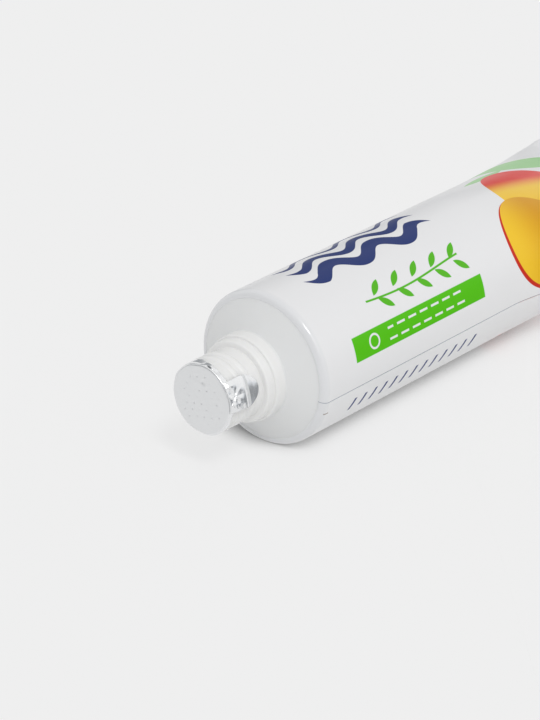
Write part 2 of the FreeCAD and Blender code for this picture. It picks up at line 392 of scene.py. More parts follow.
def head_piece():
    """Moulded shoulder, collars and threaded neck, turned from one outline."""
    outline = divided(softened(head_outline()), FINE_ROW)
    outside = (outline[:, 1] > NECK_RADIUS - ON_NECK) & (outline[:, 0] < -COLLAR_TWO[1])
    keep = [0]
    for i in range(1, len(outline)):
        far = np.linalg.norm(outline[i] - outline[keep[-1]]) > COARSE_ROW
        if outside[i] or far or corner_at(outline, i):
            keep.append(i)
    outline, outside = outline[keep], outside[keep]
    angle = np.linspace(0, 2 * math.pi, HEAD_COLUMNS, endpoint=False)[None, :]
    x, radius = outline[:, :1], outline[:, 1:]
    radius = radius + thread_height(-x, angle) * outside[:, None]
    points = round_points(x, radius, angle).reshape(-1, 3)
    faces = grid_faces(len(outline) + 1, HEAD_COLUMNS, closed=True)
    faces = [tuple(v % len(points) for v in face) for face in faces]
    return mesh_object("moulded_head", points, faces, HEAD_SHARP)


def corner_at(outline, i):
    """True where the outline turns."""
    before = outline[i] - outline[i - 1]
    after = outline[(i + 1) % len(outline)] - outline[i]
    turn = before[0] * after[1] - before[1] * after[0]
    return abs(turn) > STRAIGHT_ENOUGH * np.linalg.norm(before) * np.linalg.norm(after)


# Foil seal

FOIL_FRONT = NECK_FRONT + FOIL_THICK
FOIL_COLUMNS = 360
FOIL_SKIN = 0.05
FACE_BEND = 0.3                  # rounding where the foil turns over the mouth
FACE_ROWS, BEND_ROWS, FOLD_ROWS = 44, 6, 16
EDGE_BULGE = (0.30, 30, 28)      # height, and middle and reach in degrees
EDGE_WAVES = ((0.03, 5, 1), (0.02, 11, 0))   # height, count round the edge and shift
FOLD_SETTLES = 0.22              # share of the fold's length in which it reaches its radius
FOLD_CRUMPLE = 0.05
LEAST_GAP = 0.06                 # from the neck to the folded edge
# Creases of crumpled foil: scale of the widest and growth from one to the next, bend, fading
CREASE_SCALE, CREASE_GROWTH = 0.35, 1.45
CREASE_BEND, CREASE_BEND_PITCH, CREASE_FADE = 0.35, 2.1, 0.8

# Relief of the pressed face: dots in slanted rows, a deeper dent, a faint ring and waves
DOT_PITCH, DOT_ROW = 1.95, 1.37
DOT_TURN = 12.5
DOT_ORIGIN = (0.92, 0.87)
DOT_DEEP, DOT_STRAY = 0.09, 0.28   # depth, and span that its place strays over
DOT_WEIGHTS = (0.1, 0.7)         # a dot is missing below the first, full above the second
DOT_SIDES = (0.04, 0.3)          # radii between which a dot's side rises
DOTS_END = (5.3, 5.7)            # radii of the face between which the dots fade out
DENT, DENT_DEEP, DENT_REACH = (0.7, 3.87), 0.16, 0.5
RING, RING_RADIUS, RING_HIGH, RING_REACH = (-0.6, 5.0), 1.7, 0.03, 0.2
FACE_WAVES = 0.03

# Pull tab; its arc counts downwards round the neck from the line along which it touches
TAB_COLUMNS, TAB_ROWS = 81, 110
TAB_MIDDLE = 72.0                # angle of that line
TAB_UP, TAB_DOWN = 3.25, 3.1     # reach of the tab to both sides of it
TAB_ROOT = 0.1                   # start of the tab behind the face
TAB_TUCK = 0.42                  # how far its root is tucked under the folded edge
TAB_TIP = 11.05                  # tip of the tab ahead of the rim plane
TAB_ROUND = 3.9                  # length of its round end
TIP_FULLNESS = 0.995             # under 1, so that its sides don't end in a point
TAB_CREASE = 14.5
TAB_OVER = 7.6                   # radius at which it passes over the thread
TAB_OPEN = 28.0                  # bend of its lower half, which stands off the neck
TAB_LETS_GO = 1.8                # length behind the face over which it starts to stand off
# Its form: distance ahead of the rim plane, and height over the thread
TAB_PROFILE = (
    (11.0, 0.12), (12.4, 0.02), (13.6, 0.10), (14.2, 0.25), (TAB_CREASE, 0.33),
    (14.8, 0.20), (15.8, 0.04), (17.2, 0.00), (18.4, -0.10), (19.3, -0.42),
)
TAB_SLANT = 0.05
LARGE_FOLDS, LARGE_FROM = -0.4, (0.2, 1.8)       # height, and start ahead of the crease
CRUMPLE, CRUMPLE_FROM = 0.3, (16.9, 18.2)
FINE_FOLDS = 0.012
# Star of folds and small round folds: centre (arc, front), height, and radius and reach
STAR, STAR_HIGH, STAR_RADIUS, STAR_REACH = (0.0, 17.3), 0.22, 0.9, 0.9
STAR_FOLDS, STAR_TURN = 5, 0.2
CURL, CURL_HIGH, CURL_RADIUS, CURL_REACH = (1.9, 18.3), 0.10, 0.4, 0.8

# Folds of the turned-over edge: angle, radius of the fold and how far the edge reaches back
SKIRT_FOLDS = (
    (-172, 7.30, 1.3), (-150, 7.58, 1.8), (-128, 7.27, 1.2), (-108, 7.52, 1.5),
    (-88, 7.30, 1.9), (-66, 7.50, 1.3), (-44, 7.28, 1.6), (-25, 7.40, 2.3),
    (-11, 7.36, 2.1), (1, 7.24, 1.7), (15, 7.76, 1.1), (27, 7.27, 1.5),
    (35, 7.50, 1.2), (44, 7.32, 1.4), (103, 7.24, 0.9), (117, 7.36, 0.7),
    (138, 7.26, 1.1), (158, 7.52, 1.3),
)


def folded(value):
    """Sharp folds with straight sides, one for each unit, from -0.5 to 0.5."""
    return np.abs(value - np.round(value)) * 2 - 0.5


def creases(u, v, waves, seed):
    """Sharp folds of crumpled foil: a sum of folded planes, about -0.5 to 0.5."""
    draw = np.random.default_rng(seed)
    total = np.zeros(np.broadcast(u, v).shape)
    weight = 0.0
    for wave in range(waves):
        way = draw.uniform(0, 2 * math.pi)
        scale = CREASE_SCALE * CREASE_GROWTH ** wave
        shift = draw.uniform(0, 1)
        beside = scale * (v * math.cos(way) - u * math.sin(way))
        bend = CREASE_BEND * np.sin(beside * CREASE_BEND_PITCH + wave)
        place = scale * (u * math.cos(way) + v * math.sin(way)) + shift + bend
        share = 1 / (1 + wave) ** CREASE_FADE
        total += folded(place) * share
        weight += share
    return total / weight


def foil_edge(angle):
    """Radius at which the foil turns over the mouth; it isn't quite round."""
    degrees = (np.degrees(angle) + 180) % 360 - 180
    high, middle, reach = EDGE_BULGE
    edge = NECK_RADIUS + high * bump(degrees, middle, reach)
    for high, count, shift in EDGE_WAVES:
        edge = edge + high * np.sin(count * angle + shift)
    return edge


def scattered(row, column):
    """A number from 0 to 1 for each dot, without order but the same each time."""
    return np.abs(np.sin(row * 12.99 + column * 78.23) * 43.76) % 1.0


def foil_face_relief(across, up, radius):
    """Pressed dots on the face of the foil, one deeper dent, and slight waves."""
    turn = math.radians(DOT_TURN)
    from_across, from_up = across - DOT_ORIGIN[0], up - DOT_ORIGIN[1]
    v = (-from_across * math.sin(turn) + from_up * math.cos(turn)) / DOT_ROW
    row = np.round(v)
    u = (from_across * math.cos(turn) + from_up * math.sin(turn)) / DOT_PITCH + 0.5 * (row % 2)
    column = np.round(u)
    weight = scattered(row, column)
    stray = [DOT_STRAY * (weight * times % 1.0 - 0.5) for times in (7, 13)]
    spot = np.hypot((u - column) * DOT_PITCH + stray[0], (v - row) * DOT_ROW + stray[1])
    deep = DOT_DEEP * smooth(*DOT_WEIGHTS, weight)
    dots = -deep * (1 - smooth(*DOT_SIDES, spot)) * (1 - smooth(*DOTS_END, radius))
    from_dent = np.hypot(across - DENT[0], up - DENT[1])
    from_ring = np.hypot(across - RING[0], up - RING[1])
    dent = -DENT_DEEP * bump(from_dent, 0.0, DENT_REACH)
    ring = RING_HIGH * bump(from_ring, RING_RADIUS, RING_REACH)
    return dots + dent + ring + FACE_WAVES * creases(across * 0.5, up * 0.5, 4, SEED + 3)


def foil_cover():
    """Points of the foil over the mouth and of its edge folded back along the neck."""
    angle = np.linspace(0, 2 * math.pi, FOIL_COLUMNS, endpoint=False)[None, :]
    places, radii, reaches = zip(*SKIRT_FOLDS)
    fold_radius = np.interp(np.degrees(angle), places, radii, period=360)
    reach = np.interp(np.degrees(angle), places, reaches, period=360)
    edge = foil_edge(angle)
    radius = (edge - FACE_BEND) * np.linspace(0.02, 1.0, FACE_ROWS)[:, None]
    across, up = radius * np.sin(angle), radius * np.cos(angle)
    face = round_points(-FOIL_FRONT - foil_face_relief(across, up, radius), radius, angle)
    turn = np.linspace(0.2, math.pi / 2, BEND_ROWS)[:, None]
    bend = round_points(-FOIL_FRONT + FACE_BEND * (1 - np.cos(turn)),
                        edge - FACE_BEND * (1 - np.sin(turn)), angle)
    down = np.linspace(0.08, 1.0, FOLD_ROWS)[:, None]
    back = -FOIL_FRONT + FACE_BEND + down * (reach - FACE_BEND)
    radius = edge + (fold_radius - edge) * smooth(0.0, FOLD_SETTLES, down)
    radius = radius + FOLD_CRUMPLE * down * creases(angle * 6.0, back * 0.9, 4, SEED + 1)
    fold = round_points(back, np.maximum(radius, NECK_RADIUS + LEAST_GAP), angle)
    centre = in_frame(-FOIL_FRONT, 0.0, 0.0)
    rows = np.concatenate([face, bend, fold])
    points = np.concatenate([[centre], rows.reshape(-1, 3)])
    faces = grid_faces(len(rows), FOIL_COLUMNS, closed=True, first=1)
    faces += [(0, 1 + (i + 1) % FOIL_COLUMNS, 1 + i) for i in range(FOIL_COLUMNS)]
    return points, faces


def tab_relief(arc, front):
    """Height of the form and folds of the tab over the line along which it touches."""
    base = np.interp(front - TAB_SLANT * (arc + 1.0), *zip(*TAB_PROFILE))
    ahead = smooth(*LARGE_FROM, front - TAB_CREASE)
    large = LARGE_FOLDS * ahead * creases(arc * 0.55 + 2.0, front * 0.5, 3, SEED)
    star = np.hypot(arc - STAR[0], front - STAR[1])
    turn = np.arctan2(front - STAR[1], arc - STAR[0]) / (2 * math.pi)
    spokes = STAR_HIGH * bump(star, STAR_RADIUS, STAR_REACH) * folded(turn * STAR_FOLDS + STAR_TURN)
    curl = np.hypot(arc - CURL[0], front - CURL[1])
    rings = CURL_HIGH * bump(curl, CURL_RADIUS, CURL_REACH) * folded(curl / CURL_REACH)
    at_root = smooth(*CRUMPLE_FROM, front)
    crumple = CRUMPLE * at_root * creases(arc * 1.2, front * 0.8, 3, SEED + 9)
    fine = FINE_FOLDS * creases(arc * 1.8, front * 1.6, 3, SEED + 5)
    return base + large + spokes + rings + crumple + fine


def foil_tab():
    """Points of the pull tab, bent down over the thread, with its round end."""
    across = np.linspace(-1, 1, TAB_COLUMNS)[None, :]
    along = np.linspace(0, 1, TAB_ROWS)[:, None]
    tip = TAB_TIP + TAB_ROUND * (1 - np.sqrt(1 - (across * TIP_FULLNESS) ** 2))
    root = FOIL_FRONT - TAB_ROOT
    front = root + along * (tip - root)
    arc = (TAB_DOWN - TAB_UP) / 2 + across * (TAB_DOWN + TAB_UP) / 2
    off_edge = smooth(0.0, TAB_LETS_GO, FOIL_FRONT - front) * (arc > 0)
    bend = 1 / (1 / TAB_OVER + (1 / TAB_OPEN - 1 / TAB_OVER) * off_edge)
    middle = math.radians(TAB_MIDDLE)
    facing = middle + arc / bend
    height = tab_relief(arc, front) * smooth(-0.02, 0.05, along)
    height = height - TAB_TUCK * (along == 0)
    beside = (TAB_OVER - bend) * math.sin(middle) + (bend + height) * np.sin(facing)
    up = (TAB_OVER - bend) * math.cos(middle) + (bend + height) * np.cos(facing)
    points = in_frame(*np.broadcast_arrays(-front, -beside, up))
    return points.reshape(-1, 3), grid_faces(TAB_ROWS, TAB_COLUMNS, closed=False)


def foil_piece():
    """Foil over the mouth with its pull tab, given its thickness by a modifier."""
    cover, cover_faces = foil_cover()
    tab, tab_faces = foil_tab()
    start = len(cover)
    faces = cover_faces + [tuple(v + start for v in face) for face in tab_faces]
    piece = mesh_object("crinkled_foil", np.concatenate([cover, tab]), faces, FOIL_SHARP)
    skin = piece.modifiers.new("skin", "SOLIDIFY")
    skin.thickness = FOIL_SKIN * MM
    skin.offset = 0.0
    return piece


# Materials

INK_EDGE = 0.09                  # softness of the edge of printed colour
COLOURS = {
    "white": "#ECECED",
    "navy": "#1D3270",
    "green": "#54C300",
    "leaf": "#57B91C",
    "pale_leaf": "#A0D592",
    "coral": "#E62A14",
    "yellow": "#F6C92C",
    "amber": "#DC9C00",
    "red": "#CC2A16",
    "blush": "#F3857A",
    # seam: grey painted as the shade of the seam's step
    "seam": "#A9AFB8",
    # rim: bare laminate coloured darker as painted shade where it turns over the rim
    "rim": "#E3E4E6",
    "mark": "#A39A90",
    # cone and neck: one white moulding, the cone painted darker as shade, the neck lighter as light
    "cone": "#E7E8E8",
    "neck": "#EEEEED",
    "foil": "#EEEFF0",
}


def linear(code):
    """Linear colour of a web colour code."""
    values = [int(code[i:i + 2], 16) / 255 for i in (1, 3, 5)]
    values = [v / 12.92 if v <= 0.04045 else ((v + 0.055) / 1.055) ** 2.4 for v in values]
    return (*values, 1.0)


def feed(tree, socket, value):
    """Join a socket to a node's output, or set it to a constant."""
    if isinstance(value, bpy.types.NodeSocket):
        tree.links.new(value, socket)
    else:
        socket.default_value = value


def add_math(tree, operation, *values):
    """Result of an operation on outputs or numbers."""
    node = tree.nodes.new("ShaderNodeMath")
    node.operation = operation
    for socket, value in zip(node.inputs, values):
        feed(tree, socket, value)
    return node.outputs[0]


def add_ramp(tree, value, start, end, low=0.0, high=1.0, soft=True):
    """Runs from low to high as a value goes from start to end."""
    ramp = tree.nodes.new("ShaderNodeMapRange")
    ramp.interpolation_type = "SMOOTHSTEP" if soft else "LINEAR"
    tree.links.new(value, ramp.inputs[0])
    for socket, number in zip(ramp.inputs[1:5], (start, end, low, high)):
        socket.default_value = number
    return ramp.outputs[0]


def object_place(tree, axis):
    """Coordinate of a point of an object along one axis of the row frame, in metres."""
    where = tree.nodes.new("ShaderNodeTexCoord")
    split = tree.nodes.new("ShaderNodeSeparateXYZ")
    tree.links.new(where.outputs["Object"], split.inputs[0])
    return split.outputs[axis]


def new_material(name):
    material = bpy.data.materials.new(name)
    material.use_nodes = True
    shader = material.node_tree.nodes["Principled BSDF"]
    return material, material.node_tree, shader


def add_grain(tree, shader, scale, detail, rough, spread, distance, strength):
    """Fine unevenness: roughness from a least value over a spread, and a slight bump."""
    where = tree.nodes.new("ShaderNodeTexCoord")
    noise = tree.nodes.new("ShaderNodeTexNoise")
    noise.inputs["Scale"].default_value = scale
    noise.inputs["Detail"].default_value = detail
    tree.links.new(where.outputs["Object"], noise.inputs["Vector"])
    tree.links.new(add_math(tree, "MULTIPLY_ADD", noise.outputs[0], spread, rough),
                   shader.inputs["Roughness"])
    relief = tree.nodes.new("ShaderNodeBump")
    relief.inputs["Distance"].default_value = distance
    relief.inputs["Strength"].default_value = strength
    tree.links.new(noise.outputs[0], relief.inputs["Height"])
    tree.links.new(relief.outputs[0], shader.inputs["Normal"])


class Inks:
    """Builds printed shapes out of nodes; a shape is a field, positive inside, in mm."""

    def __init__(self, tree):
        self.tree = tree

    def calc(self, operation, *values):
        return add_math(self.tree, operation, *values)

    def disc(self, places, centre, radius):
        across = self.calc("SUBTRACT", places[0], centre[0])
        along = self.calc("SUBTRACT", places[1], centre[1])
        square = self.calc("MULTIPLY_ADD", across, across, self.calc("MULTIPLY", along, along))
        return self.calc("SUBTRACT", radius, self.calc("SQRT", square))

    def band(self, value, low, high):
        return self.calc("MINIMUM", self.calc("SUBTRACT", value, low),
                         self.calc("SUBTRACT", high, value))

    def box(self, places, low, high):
        return self.calc("MINIMUM", self.band(places[0], low[0], high[0]),
                         self.band(places[1], low[1], high[1]))

    def leaf(self, places, centre, size, turn):
        """Lens between two circles, with its long way turned from along the tube."""
        half, plump = size
        radius = (half * half + plump * plump) / (2 * plump)
        side = radius - plump
        shift = (side * math.cos(turn), -side * math.sin(turn))
        first = self.disc(places, (centre[0] + shift[0], centre[1] + shift[1]), radius)
        second = self.disc(places, (centre[0] - shift[0], centre[1] - shift[1]), radius)
        return self.calc("MINIMUM", first, second)

    def wave(self, places, middle, swing, length, start):
        """Distance, square to it, from a wave that runs along the tube."""
        turn = self.calc("MULTIPLY", self.calc("SUBTRACT", places[1], start),
                         2 * math.pi / length)
        line = self.calc("MULTIPLY_ADD", self.calc("SINE", turn), swing, middle)
        slope = self.calc("MULTIPLY", self.calc("COSINE", turn), swing * 2 * math.pi / length)
        stretch = self.calc("SQRT", self.calc("MULTIPLY_ADD", slope, slope, 1.0))
        beside = self.calc("ABSOLUTE", self.calc("SUBTRACT", places[0], line))
        return self.calc("DIVIDE", beside, stretch)

    def cover(self, field):
        """How much of a point lies inside a shape, from 0 to 1."""
        share = self.calc("MULTIPLY_ADD", field, 1 / INK_EDGE, 0.5)
        return self.calc("MINIMUM", self.calc("MAXIMUM", share, 0.0), 1.0)

    def lay(self, below, share, colour):
        """Colour laid over what is below; each is a name or a socket."""
        mix = self.tree.nodes.new("ShaderNodeMix")
        mix.data_type = "RGBA"
        self.tree.links.new(share, mix.inputs[0])
        for socket, value in ((mix.inputs[6], below), (mix.inputs[7], colour)):
            feed(self.tree, socket, linear(COLOURS[value]) if isinstance(value, str) else value)
        return mix.outputs[2]

    def blend(self, first, last, value, start, end):
        """Colour that runs from one ink to another as a value goes from start to end."""
        return self.lay(first, add_ramp(self.tree, value, start, end), last)


def print_places(inks):
    """Length round from the top and length along the tube, in millimetres."""
    layer = inks.tree.nodes.new("ShaderNodeUVMap")
    layer.uv_map = "print"
    split = inks.tree.nodes.new("ShaderNodeSeparateXYZ")
    inks.tree.links.new(layer.outputs[0], split.inputs[0])
    return [inks.calc("MULTIPLY_ADD", split.outputs[i], PRINT_SPAN[i], PRINT_FROM[i])
            for i in (0, 1)]


# Printed shapes

# Each place is a length round from the top and a length along. A leaf has half its length and
# half its width, and a turn in degrees. A disc has its centre and radius.

WAVE_RUN = (8.2, 48.4)
WAVES = ((2.2, 1.5), (-2.4, 1.0), (-6.4, 0.6))       # middle and half the width
WAVE_SWING, WAVE_LENGTH = 1.7, 13.4
WAVE_SWELL = 0.3                 # widening for each millimetre from an end

STEM = (12.4, 0.7, 46.0, 16.0)   # middle, swing, length and start
STEM_HALF, STEM_RUN = 0.22, (16.5, 46.0)
TWIG_CELL, TWIG_RUN = (24.0, 18.0), (18.0, 48.0)
TWIG_LEAF = (2.2, 0.75)
TWIG_LEAVES = (((10.6, 21.0), -40), ((14.2, 21.6), 40))

BAR = ((17.6, 8.4), (22.6, 49.4))
BAR_RING, BAR_RING_LINE = ((20.1, 14.5), 1.6), 0.42
DASH_PITCH, DASH_RUN = 3.6, (19.0, 43.2)
DASHES = (((18.75, 0.3), (19.2, 2.7)), ((21.0, 0.9), (21.45, 3.3)))

PALE_LEAVES = (((-12.5, 101.0), (19.0, 4.6), 10), ((-8.6, 81.0), (11.0, 1.3), -14))
LARGE_DISC, SUNNY_DISC = ((7.2, 86.5), 16.6), ((16.2, 71.8), 11.2)
AMBER_DISC, CORAL_DISC = ((25.5, 83.0), 8.2), ((13.8, 99.0), 7.5)
CORAL_TO_YELLOW, YELLOW_TO_AMBER = (-3.5, 2.5), (5.0, 14.0)     # lengths round
SUNNY_TO_AMBER = (62.0, 76.0)    # lengths along
CRESCENT_SHIFT, CRESCENT_LINE = (-0.35, 0.75), 0.1

BLUSH_WAVE = (-50.0, 3.0, 40.0, 62.0)                # middle, swing, length and start
BLUSH_HALF, BLUSH_START = 11.0, 61.0
SLANT, SLANT_PITCH = 0.35, 3.2
SLANT_DASH, SLANT_RUN = ((-69.9, 0.4), (-66.9, 1.15)), (-16.0, 25.6)

SEAM_LINE = 0.16
CUTTING_MARK = ((2.55 + SEAM_FROM_TOP - GIRTH, -0.7), (2.85 + SEAM_FROM_TOP - GIRTH, 0.6))
BARE_FROM, BARE_AT = 0.4, -0.9   # lengths along between which the print ends


def wave_mark(inks, places, below):
    """Three navy waves side by side, each one finer than the one below it."""
    swell = inks.calc("MULTIPLY", inks.band(places[1], *WAVE_RUN), WAVE_SWELL)
    mark = None
    for middle, wide in WAVES:
        beside = inks.wave(places, middle, WAVE_SWING, WAVE_LENGTH, WAVE_RUN[0])
        line = inks.calc("SUBTRACT", inks.calc("MINIMUM", swell, wide), beside)
        mark = line if mark is None else inks.calc("MAXIMUM", mark, line)
    return inks.lay(below, inks.cover(mark), "navy")


def sprig(inks, places, below):
    """Thin green stem with small leaves on both sides."""
    stem = inks.calc("SUBTRACT", STEM_HALF, inks.wave(places, *STEM))
    stem = inks.calc("MINIMUM", stem, inks.band(places[1], *STEM_RUN))
    cell = (places[0], inks.calc("WRAP", places[1], *TWIG_CELL))
    sides = [inks.leaf(cell, centre, TWIG_LEAF, math.radians(turn))
             for centre, turn in TWIG_LEAVES]
    leaves = inks.calc("MINIMUM", inks.calc("MAXIMUM", *sides),
                       inks.band(places[1], *TWIG_RUN))
    return inks.lay(below, inks.cover(inks.calc("MAXIMUM", stem, leaves)), "leaf")


def green_bar(inks, places, below):
    """Green bar with a white ring and two rows of white strokes."""
    ring = inks.disc(places, *BAR_RING)
    ring = inks.calc("MINIMUM", ring, inks.calc("SUBTRACT", BAR_RING_LINE, ring))
    cell = (places[0], inks.calc("WRAP", places[1], DASH_PITCH, 0.0))
    dashes = inks.calc("MAXIMUM", *[inks.box(cell, *dash) for dash in DASHES])
    dashes = inks.calc("MINIMUM", dashes, inks.band(places[1], *DASH_RUN))
    below = inks.lay(below, inks.cover(inks.box(places, *BAR)), "green")
    return inks.lay(below, inks.cover(inks.calc("MAXIMUM", ring, dashes)), "white")


def crescent_disc(inks, places, below, disc, fill):
    """Disc with a thin red crescent along its edge towards the neck."""
    (round_from_top, along), radius = disc
    inner = (round_from_top + CRESCENT_SHIFT[0], along + CRESCENT_SHIFT[1])
    below = inks.lay(below, inks.cover(inks.disc(places, *disc)), "red")
    return inks.lay(below, inks.cover(inks.disc(places, inner, radius - CRESCENT_LINE)), fill)


def warm_discs(inks, places, below):
    """Large overlapping discs in warm colours with pale leaves behind them."""
    leaves = [inks.leaf(places, centre, size, math.radians(turn))
              for centre, size, turn in PALE_LEAVES]
    below = inks.lay(below, inks.cover(inks.calc("MAXIMUM", *leaves)), "pale_leaf")
    warm = inks.blend("coral", "yellow", places[0], *CORAL_TO_YELLOW)
    warm = inks.blend(warm, "amber", places[0], *YELLOW_TO_AMBER)
    below = inks.lay(below, inks.cover(inks.disc(places, *LARGE_DISC)), warm)
    sunny = inks.blend("yellow", "amber", places[1], *SUNNY_TO_AMBER)
    below = crescent_disc(inks, places, below, SUNNY_DISC, sunny)
    below = crescent_disc(inks, places, below, AMBER_DISC, "amber")
    return inks.lay(below, inks.cover(inks.disc(places, *CORAL_DISC)), "coral")


def under_side(inks, places, below):
    """Blush field under the tail half, and a row of short navy strokes by the seam."""
    field = inks.calc("SUBTRACT", BLUSH_HALF, inks.wave(places, *BLUSH_WAVE))
    field = inks.calc("MINIMUM", field, inks.calc("SUBTRACT", places[1], BLUSH_START))
    below = inks.lay(below, inks.cover(field), "blush")
    slant = inks.calc("MULTIPLY_ADD", places[0], SLANT, places[1])
    cell = (places[0], inks.calc("WRAP", slant, SLANT_PITCH, 0.0))
    strokes = inks.calc("MINIMUM", inks.box(cell, *SLANT_DASH), inks.band(slant, *SLANT_RUN))
    return inks.lay(below, inks.cover(strokes), "navy")


def seam_line(inks, places, below):
    """Fine grey line along the cut edge of the laminate, painted shade of the seam's step, and a
    small cutting mark beside it.
    """
    line = inks.calc("SUBTRACT", places[0], SEAM_FROM_TOP - SEAM_LINE)
    # painted shade: a grey line along the seam's step
    below = inks.lay(below, inks.cover(line), "seam")
    return inks.lay(below, inks.cover(inks.box(places, *CUTTING_MARK)), "mark")


def rim_share(inks, places):
    """Rises from 0 to 1 where the laminate turns over the rim."""
    return add_ramp(inks.tree, places[1], BARE_FROM, BARE_AT)


def bare_rim_painted_shade(inks, places, below):
    """Laminate that the print leaves bare where it turns over the rim, coloured darker as painted
    shade.
    """
    return inks.lay(below, rim_share(inks, places), "rim")


SLEEVE_COAT, RIM_COAT = 0.1, 0.9


def sleeve_material():
    """Printed laminate, glossier on the bare rim."""
    material, tree, shader = new_material("printed_gloss_laminate")
    inks = Inks(tree)
    places = print_places(inks)
    colour = "white"
    for layer in (under_side, warm_discs, wave_mark, sprig, green_bar, bare_rim_painted_shade, seam_line):
        colour = layer(inks, places, colour)
    tree.links.new(colour, shader.inputs["Base Color"])
    coat = inks.calc("MULTIPLY_ADD", rim_share(inks, places), RIM_COAT - SLEEVE_COAT, SLEEVE_COAT)
    tree.links.new(coat, shader.inputs["Coat Weight"])
    shader.inputs["Specular IOR Level"].default_value = 0.13
    shader.inputs["Coat Roughness"].default_value = 0.12
    add_grain(tree, shader, scale=260.0, detail=3.0, rough=0.26, spread=0.10,
              distance=0.00002, strength=0.5)
    return material


TONE_STEP = 0.4                  # length over which the cone's painted shade becomes the neck's painted light


def head_material():
    """Matt white moulding, its cone coloured darker as painted shade and its neck lighter as
    painted light.
    """
    material, tree, shader = new_material("white_moulding")
    front = add_ramp(tree, object_place(tree, 0), (RIM_X - CONE_FRONT) * MM,
                     (RIM_X - CONE_FRONT - TONE_STEP) * MM, soft=False)
    # painted shade and light: one moulding in two tones, the cone darker than the neck and collars
    tree.links.new(Inks(tree).lay("cone", front, "neck"), shader.inputs["Base Color"])
    shader.inputs["Subsurface Weight"].default_value = 0.15
    shader.inputs["Subsurface Radius"].default_value = (0.002, 0.002, 0.0018)
    shader.inputs["Subsurface Scale"].default_value = 1.0
    add_grain(tree, shader, scale=420.0, detail=3.0, rough=0.36, spread=0.10,
              distance=0.00003, strength=0.5)
    return material


FACE_ROUGH, FOLD_ROUGH = 0.44, 0.17
FACE_ENDS = (0.1, 0.3)           # distances behind the face over which its finish ends


def foil_material():
    """Bright foil, with a satin pressed face."""
    material, tree, shader = new_material("aluminium_foil")
    shader.inputs["Metallic"].default_value = 1.0
    shader.inputs["Base Color"].default_value = linear(COLOURS["foil"])
    start, end = ((RIM_X - FOIL_FRONT + behind) * MM for behind in FACE_ENDS)
    rough = add_ramp(tree, object_place(tree, 0), start, end, FACE_ROUGH, FOLD_ROUGH, soft=False)
    add_grain(tree, shader, scale=900.0, detail=2.0, rough=rough, spread=0.04,
              distance=0.00001, strength=0.6)
    return material


# Room, light and camera

BACKDROP = 0.863                 # level of the pale background
ROOM = 0.66                      # strength of the even light from all round
ROOM_COLOUR = (0.995, 0.998, 1.0, 1.0)
KEY_WAY, KEY_STRENGTH, KEY_SPREAD = (0.31, 0.53, -0.79), 0.9, 16.0
LENS = 156.05
SENSOR = 36.0
CAMERA_FROM_RIM = (-415.14, -357.45, 263.84)
LOOK = (0.6841, 0.5877, -0.4321)

FLOOR_HALF = 6.0                 # half the side of the floor, in metres
FLOOR_COLOUR = 0.9
FLOOR_GLOW = 0.74                # share of the floor's look that shadow reaches only close by
FLOOR_LEVEL = 0.886              # level of that share
CONTACT_REACH = 0.006            # how far the close shade looks for the tube
CONTACT_DEPTH = 0.86
CONTACT_FADE = (0.48, 0.96)      # openness between which the close shade fades
CONTACT_FACING = (-0.3, -0.9, 0.3)     # way it looks, to the side that the key shines from

# Screens that only reflections see: level or two levels, directions from the rim in degrees,
# and heights and distances in metres
SCREENS_AWAY, DARK_AWAY = 0.8, 1.0
LOW_SCREEN, LOW_WAYS, LOW_HEIGHTS = (0.3, 0.88), ((-78, -46), (-46, -14)), (0.0, 0.2)
BRIGHT_SCREEN, BRIGHT_WAYS, BRIGHT_HEIGHTS = 0.97, (-82, -24), (0.2, 1.19)
DARK_ROOM, DARK_HEIGHTS = 0.2, (0.0, 0.85)
DARK_WAYS = ((115, 145), (145, 175), (175, 205), (205, 235))
FAR_WALL, FAR_WAYS, FAR_HEIGHTS = 0.38, (29, 71), (0.0, 0.42)
DULL_TABLE = (0.46, 0.3)         # near and far
TABLE_ENDS = ((0.032, -70, -30), (0.12, -74, -22), (0.8, -78, -14))   # distance, directions
TABLE_HEIGHT = 0.0004
COOL_GREY, COOL_BELOW = (0.95, 0.98, 1.02, 1.0), 0.5     # colour of screens below a level
# Ends of a narrow strip of light, as directions from the tube; the glossy rim mirrors it
STREAK_WAYS = ((-0.286, -0.867, 0.408), (-0.281, -0.573, 0.770))
STREAK_LIGHT, STREAK_AWAY, STREAK_HALF = 14.0, 0.6, 0.016


def flat_object(name, corners):
    """Object with one flat face."""
    mesh = bpy.data.meshes.new(name)
    mesh.from_pydata(corners, [], [tuple(range(len(corners)))])
    flat = bpy.data.objects.new(name, mesh)
    bpy.context.scene.collection.objects.link(flat)
    return flat


def seen_directly(tree, share):
    """Share for rays of the camera and of reflections, and none for the light itself."""
    path = tree.nodes.new("ShaderNodeLightPath")
    seen = add_math(tree, "MAXIMUM", path.outputs["Is Camera Ray"],
                    path.outputs["Is Glossy Ray"])
    seen = add_math(tree, "MAXIMUM", seen, path.outputs["Is Transmission Ray"])
    return add_math(tree, "MULTIPLY", seen, share)


def contact_shade(tree):
    """Level of the floor's own glow: darker close by the tube, but not in reflections."""
    near = tree.nodes.new("ShaderNodeAmbientOcclusion")
    near.samples = 12
    near.inputs["Distance"].default_value = CONTACT_REACH
    facing = tree.nodes.new("ShaderNodeCombineXYZ")
    for socket, value in zip(facing.inputs, Vector(CONTACT_FACING).normalized()):
        socket.default_value = value
    tree.links.new(facing.outputs[0], near.inputs["Normal"])
    shade = add_ramp(tree, near.outputs["AO"], *CONTACT_FADE,
                     FLOOR_LEVEL * (1 - CONTACT_DEPTH), FLOOR_LEVEL)
    mirrored = tree.nodes.new("ShaderNodeLightPath").outputs["Is Glossy Ray"]
    return add_math(tree, "MAXIMUM", shade, add_math(tree, "MULTIPLY", mirrored, FLOOR_LEVEL))


